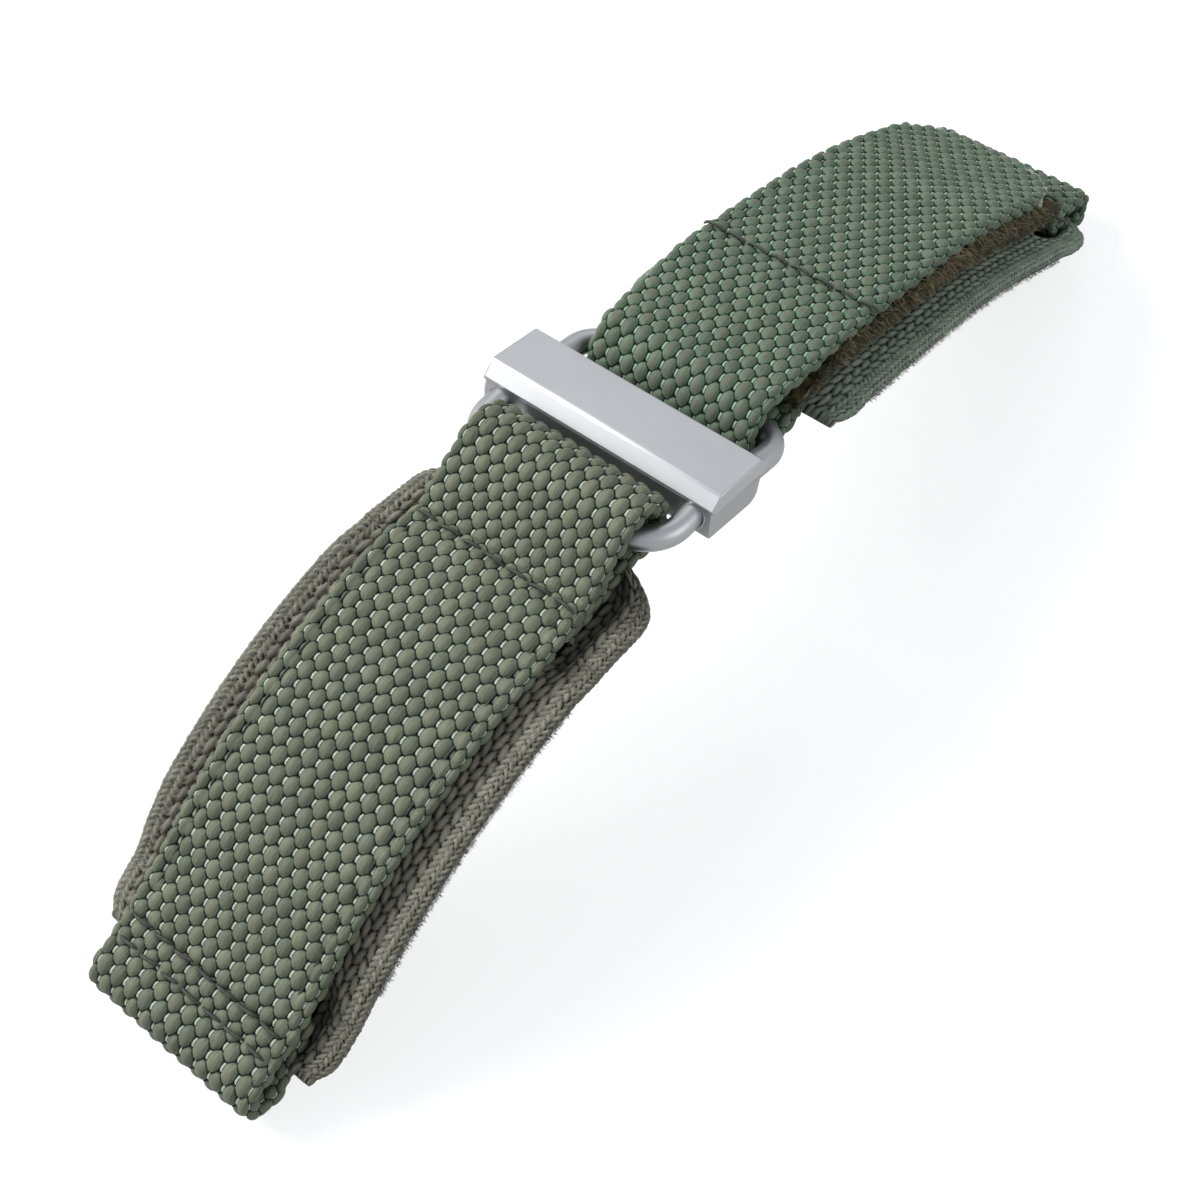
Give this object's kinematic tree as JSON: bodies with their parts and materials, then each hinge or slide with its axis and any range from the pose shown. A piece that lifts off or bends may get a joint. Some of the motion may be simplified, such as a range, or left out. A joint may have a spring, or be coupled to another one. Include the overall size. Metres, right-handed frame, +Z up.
{
  "type": "hook and loop watch strap",
  "caption": "Hook and loop watch strap: webbing halves on knitted base pads, a metal block buckle with wire bails, a flap that peels open and spring bar tunnels at the ends.",
  "frame": {"origin": "middle of the strap's length and width, on the surface that its two lug ends stand on", "axes": "+X along the strap towards the half with the flap, +Y across the strap, +Z up out of the buckle's face"},
  "size_m": [0.1488, 0.0296, 0.0314],
  "materials": {
    "steel": "satin, bead blasted",
    "webbing": "coarse honeycomb weave of grey-green yarn",
    "pad": "knitted, brushed on the underside",
    "loop_pile": "fuzzy loop pile",
    "hook_tape": "fine hooks",
    "thread": "twisted sewing thread"
  },
  "bodies": {
    "buckle": {"buckle_cap": "steel", "buckle_body": "steel", "near_bail": "steel", "far_bail": "steel"},
    "near_half": {"near_webbing": "webbing", "near_base_pad": "pad", "near_fold_stitching": "thread", "near_lug_outer_stitching": "thread", "near_lug_inner_stitching": "thread", "near_left_seam": "thread", "near_right_seam": "thread"},
    "far_half": {"far_webbing": "webbing", "far_loop_pile": "loop_pile", "far_base_pad": "pad", "far_lug_outer_stitching": "thread", "far_lug_inner_stitching": "thread"},
    "flap": {"flap_webbing": "webbing", "flap_hook_patch": "hook_tape", "flap_cross_stitching": "thread", "flap_left_seam": "thread", "flap_right_seam": "thread"}
  },
  "joints": [
    {"name": "near_swing", "type": "hinge", "parent": "buckle", "child": "near_half", "pos_m": [-0.01587, 0, 0.02673], "axis": [0, 1, 0], "range_deg": [-60, 35]},
    {"name": "far_swing", "type": "hinge", "parent": "buckle", "child": "far_half", "pos_m": [0.00425, 0, 0.0238], "axis": [0, -1, 0], "range_deg": [-60, 35]},
    {"name": "flap_peel", "type": "hinge", "parent": "far_half", "child": "flap", "pos_m": [0.0046, 0, 0.02759], "axis": [0, -1, 0], "range_deg": [0, 110]}
  ]
}
